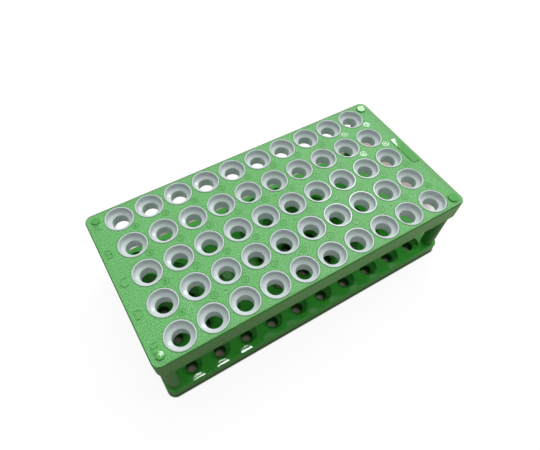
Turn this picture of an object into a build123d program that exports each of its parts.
from build123d import *
import math
import os

# Bench rack for microcentrifuge tubes. A moulded deck carries fifty flanged tube cups. Four corner
# posts hold it above a base tray whose dished wells lie under the cups.
# Millimetres. Origin on the table at the middle of the base, +X along a row towards column 10,
# +Y from row E at the front to row A at the back, +Z up.

# --- Places ------------------------------------------------------------------------------------
COLUMNS = 10
ROW_LETTERS = "EDCBA"  # front to back
LAND_X = 1.9  # deck left between two lips of one row
LAND_Y = 4.15  # deck left between two lips of one column

# --- Tube cup ----------------------------------------------------------------------------------
TUBE_R = 5.5  # body of a microcentrifuge tube just under its collar
TUBE_CLEARANCE = 0.1
SHOULDER_WIDTH = 3.0  # sloping ring that the tube's collar rests over
CUP_WALL = 0.95
FLANGE_OVERHANG = 0.5  # lip beyond the cup's wall, it rests in the deck's seat
LIP_WIDTH = 0.9  # flat top of the lip
LIP_PROUD = 0.2  # lip above the deck
CUP_DEPTH = 3.2  # from the lip's top to the outer edge of the shoulder
SHOULDER_DROP = 0.9
SLEEVE_WALL = 1.3
SLEEVE_LENGTH = 6.9  # parallel bore
CUP_FLOOR = 1.2
CUP_CORNER_R = 1.1  # hollow between wall and shoulder
BORE_EDGE_R = 0.5
SNAP_HEIGHT = 0.9  # bead that clicks under the deck plate
SNAP_BITE = 0.25  # bead beyond the seat's hole
SNAP_GAP = 0.1  # bead to the underside of the deck plate
LIP_EDGE_R = 0.25

# --- Deck --------------------------------------------------------------------------------------
RACK_HEIGHT = 66.0  # table to deck top
DECK_PLATE = 2.5
SEAT_DEPTH = 0.8  # counterbore that takes the flange
SEAT_CLEARANCE = 0.15  # round the flange
SEAT_EDGE = 0.35  # bevel round the seat's mouth
CUP_CLEARANCE = 0.1  # round the cup's wall
SKIRT_DEPTH = 16.0
SKIRT_WALL = 1.5
CORNER_R = 5.6
DECK_EDGE_R = 1.0
FRONT_LAND = 2.1  # deck in front of and behind the outer rows' lips
PAD_LENGTH = 27.5
PAD_EDGE_GAP = 2.6
PAD_HEIGHT = 0.5
PAD_CORNER_R = 1.1
PAD_EDGE_R = 0.25

# --- Corner posts ------------------------------------------------------------------------------
POST_R = 5.0
POST_WALL_GAP = 0.3  # post to the inside of the skirt
POST_CUP_GAP = 0.7  # post to the nearest flange, seen from above
LEFT_PEG_R = 2.8
RIGHT_PEG_R = 3.75  # larger, so the deck goes on one way round
PEG_PROUD = 1.0
PEG_EDGE_R = 0.35
PEG_CLEARANCE = 0.1
SPIGOT_R = 3.2
SPIGOT_LENGTH = 6.0
SPIGOT_CLEARANCE = 0.1
SPIGOT_CHAMFER = 0.5

# --- Base tray ---------------------------------------------------------------------------------
BASE_HEIGHT = 10.0
BASE_PLATE = 2.5
BASE_WALL = 1.5
BASE_EDGE_R = 1.2
WELL_R = 7.7
WELL_RIM = 2.0  # upright rim of the well
WELL_DISH = 3.0  # from the rim down to the drain hole
WELL_HOLE_R = 4.1
WELL_WALL = 1.2
DRAIN_LENGTH = 4.5  # short tube below the dish, it stops just above the table
BOSS_WALL = 1.4

# --- What follows from them --------------------------------------------------------------------
bore_r = TUBE_R + TUBE_CLEARANCE
cup_inner_r = bore_r + SHOULDER_WIDTH
cup_outer_r = cup_inner_r + CUP_WALL
lip_r = cup_outer_r + FLANGE_OVERHANG
pitch_x = 2 * lip_r + LAND_X
pitch_y = 2 * lip_r + LAND_Y
rows = len(ROW_LETTERS)

post_inset = SKIRT_WALL + POST_WALL_GAP + POST_R
cup_inset_y = FRONT_LAND + lip_r
post_to_cup = lip_r + POST_R + POST_CUP_GAP
cup_inset_x = post_inset + math.sqrt(post_to_cup**2 - (cup_inset_y - post_inset) ** 2)
length = (COLUMNS - 1) * pitch_x + 2 * cup_inset_x
width = (rows - 1) * pitch_y + 2 * cup_inset_y
post_x = length / 2 - post_inset
post_y = width / 2 - post_inset

deck_under = RACK_HEIGHT - DECK_PLATE
skirt_bottom = RACK_HEIGHT - SKIRT_DEPTH
lip_top = RACK_HEIGHT + LIP_PROUD
seat_z = RACK_HEIGHT - SEAT_DEPTH
base_under = BASE_HEIGHT - BASE_PLATE
spigot_bottom = BASE_HEIGHT - SPIGOT_LENGTH
print(f"rack {length:.1f} x {width:.1f} x {RACK_HEIGHT:.1f}, pitch {pitch_x:.2f} x {pitch_y:.2f}")

os.makedirs("parts", exist_ok=True)


def rings(part, radius, z):
    """Circular edges of a part at one radius and height."""
    circles = part.edges().filter_by(GeomType.CIRCLE)
    return circles.filter_by(lambda e: abs(e.radius - radius) < 1e-4 and abs(e.arc_center.Z - z) < 1e-4)


# --- Deck: plate and skirt in one moulding ------------------------------------------------------
with BuildPart() as deck:
    with BuildSketch(Plane.XY.offset(skirt_bottom)):
        RectangleRounded(length, width, CORNER_R)
    extrude(amount=SKIRT_DEPTH)
    fillet(deck.faces().sort_by(Axis.Z)[-1].edges(), DECK_EDGE_R)
    with BuildSketch(Plane.XY.offset(skirt_bottom)):
        RectangleRounded(length - 2 * SKIRT_WALL, width - 2 * SKIRT_WALL, CORNER_R - SKIRT_WALL)
    extrude(amount=SKIRT_DEPTH - DECK_PLATE, mode=Mode.SUBTRACT)

    # smooth raised pad in the right margin, beside the middle row
    pad_width = cup_inset_x - lip_r - 2 * PAD_EDGE_GAP
    pad_x = length / 2 - PAD_EDGE_GAP - pad_width / 2
    with BuildSketch(Plane.XY.offset(RACK_HEIGHT)):
        with Locations((pad_x, 0)):
            RectangleRounded(pad_width, PAD_LENGTH, PAD_CORNER_R)
    extrude(amount=PAD_HEIGHT)
    fillet(deck.faces().sort_by(Axis.Z)[-1].edges(), PAD_EDGE_R)

    # stepped seats for the cups, each with a bevelled mouth
    seat_r = lip_r + SEAT_CLEARANCE
    with Locations(Plane.XY.offset(RACK_HEIGHT)):
        with GridLocations(pitch_x, pitch_y, COLUMNS, rows):
            CounterBoreHole(
                radius=cup_outer_r + CUP_CLEARANCE,
                counter_bore_radius=seat_r,
                counter_bore_depth=SEAT_DEPTH,
                depth=DECK_PLATE,
            )
    chamfer(rings(deck, seat_r, RACK_HEIGHT), SEAT_EDGE)

    # holes for the pegs, the right-hand pair larger
    for side, peg_r in ((-1, LEFT_PEG_R), (1, RIGHT_PEG_R)):
        with Locations((side * post_x, post_y, RACK_HEIGHT), (side * post_x, -post_y, RACK_HEIGHT)):
            Hole(radius=peg_r + PEG_CLEARANCE, depth=DECK_PLATE)
deck.part.label = "deck"
export_step(deck.part, "parts/deck.step")

# --- Tube cup: one turned profile, drawn with the lip's top at z = 0 ----------------------------
lip_inner_r = lip_r - LIP_WIDTH
shoulder_z = -CUP_DEPTH
bore_top_z = shoulder_z - SHOULDER_DROP
cup_bottom_z = bore_top_z - CUP_FLOOR
sleeve_bottom_z = bore_top_z - SLEEVE_LENGTH
sleeve_outer_r = bore_r + SLEEVE_WALL
flange_under_z = -LIP_PROUD - SEAT_DEPTH
snap_z = -LIP_PROUD - DECK_PLATE - SNAP_GAP
snap_r = cup_outer_r + CUP_CLEARANCE + SNAP_BITE


with BuildPart() as cup:
    with BuildSketch(Plane.XZ):
        with BuildLine():
            Polyline(
                (bore_r, sleeve_bottom_z),
                (bore_r, bore_top_z),
                (cup_inner_r, shoulder_z),
                (lip_inner_r, 0),
                (lip_r, 0),
                (lip_r, flange_under_z),
                (cup_outer_r, flange_under_z),
                (cup_outer_r, snap_z),
                (snap_r, snap_z),
                (cup_outer_r, snap_z - SNAP_HEIGHT),
                (cup_outer_r, cup_bottom_z),
                (sleeve_outer_r, cup_bottom_z),
                (sleeve_outer_r, sleeve_bottom_z),
                close=True,
            )
        make_face()
    revolve(axis=Axis.Z)
    fillet(rings(cup, cup_inner_r, shoulder_z), CUP_CORNER_R)
    fillet(rings(cup, bore_r, bore_top_z), BORE_EDGE_R)
    fillet(rings(cup, lip_r, 0), LIP_EDGE_R)

# one cup in each seat, named by its row's letter and its column's number
for row, letter in enumerate(ROW_LETTERS):
    for column in range(COLUMNS):
        x = (column - (COLUMNS - 1) / 2) * pitch_x
        y = (row - (rows - 1) / 2) * pitch_y
        insert = cup.part.moved(Location((x, y, lip_top)))
        insert.label = f"insert_{letter.lower()}{column + 1}"
        export_step(insert, f"parts/{insert.label}.step")

# --- Corner posts: spigot in the base, body between the decks, peg through the upper one --------
for front_back, y in (("front", -post_y), ("back", post_y)):
    for left_right, x, peg_r in (("left", -post_x, LEFT_PEG_R), ("right", post_x, RIGHT_PEG_R)):
        with BuildPart() as post:
            with BuildSketch(Plane.XY.offset(spigot_bottom)):
                with Locations((x, y)):
                    Circle(SPIGOT_R)
            extrude(amount=SPIGOT_LENGTH)
            with BuildSketch(Plane.XY.offset(BASE_HEIGHT)):
                with Locations((x, y)):
                    Circle(POST_R)
            extrude(amount=deck_under - BASE_HEIGHT)
            with BuildSketch(Plane.XY.offset(deck_under)):
                with Locations((x, y)):
                    Circle(peg_r)
            extrude(amount=DECK_PLATE + PEG_PROUD)
            fillet(post.faces().sort_by(Axis.Z)[-1].edges(), PEG_EDGE_R)
            chamfer(post.faces().sort_by(Axis.Z)[0].edges(), SPIGOT_CHAMFER)
        post.part.label = f"corner_post_{front_back}_{left_right}"
        export_step(post.part, f"parts/{post.part.label}.step")

# --- Base tray: shallow shell with a dished, drained well under each cup ------------------------
well_floor_z = BASE_HEIGHT - WELL_RIM - WELL_DISH
well_bottom_z = well_floor_z - WELL_WALL
drain_bottom_z = well_floor_z - DRAIN_LENGTH
drain_r = WELL_HOLE_R + WELL_WALL
with BuildPart() as base:
    with BuildSketch():
        RectangleRounded(length, width, CORNER_R)
    extrude(amount=BASE_HEIGHT)
    fillet(base.faces().sort_by(Axis.Z)[-1].edges(), BASE_EDGE_R)
    with BuildSketch():
        RectangleRounded(length - 2 * BASE_WALL, width - 2 * BASE_WALL, CORNER_R - BASE_WALL)
    extrude(amount=base_under, mode=Mode.SUBTRACT)

    # tapered cups that hang under the plate and end in drain tubes, then their hollows
    with Locations(Plane.XY.offset(base_under)):
        with GridLocations(pitch_x, pitch_y, COLUMNS, rows):
            Cone(
                bottom_radius=drain_r,
                top_radius=WELL_R + WELL_WALL,
                height=base_under - well_bottom_z,
                align=(Align.CENTER, Align.CENTER, Align.MAX),
            )
    with Locations(Plane.XY.offset(drain_bottom_z)):
        with GridLocations(pitch_x, pitch_y, COLUMNS, rows):
            Cylinder(
                radius=drain_r,
                height=DRAIN_LENGTH,
                align=(Align.CENTER, Align.CENTER, Align.MIN),
            )
    with Locations(Plane.XY.offset(BASE_HEIGHT)):
        with GridLocations(pitch_x, pitch_y, COLUMNS, rows):
            Hole(radius=WELL_R, depth=WELL_RIM)
    with Locations(Plane.XY.offset(BASE_HEIGHT - WELL_RIM)):
        with GridLocations(pitch_x, pitch_y, COLUMNS, rows):
            Cone(
                bottom_radius=WELL_HOLE_R,
                top_radius=WELL_R,
                height=WELL_DISH,
                align=(Align.CENTER, Align.CENTER, Align.MAX),
                mode=Mode.SUBTRACT,
            )
    with Locations(Plane.XY.offset(BASE_HEIGHT)):
        with GridLocations(pitch_x, pitch_y, COLUMNS, rows):
            Hole(radius=WELL_HOLE_R, depth=BASE_HEIGHT - drain_bottom_z)

    # hollow bosses that take the posts' spigots
    with BuildSketch(Plane.XY.offset(spigot_bottom)):
        with GridLocations(2 * post_x, 2 * post_y, 2, 2):
            Circle(SPIGOT_R + SPIGOT_CLEARANCE + BOSS_WALL)
    extrude(amount=BASE_HEIGHT - spigot_bottom)
    with Locations(Plane.XY.offset(BASE_HEIGHT)):
        with GridLocations(2 * post_x, 2 * post_y, 2, 2):
            Hole(radius=SPIGOT_R + SPIGOT_CLEARANCE, depth=SPIGOT_LENGTH)
base.part.label = "base_tray"
export_step(base.part, "parts/base_tray.step")
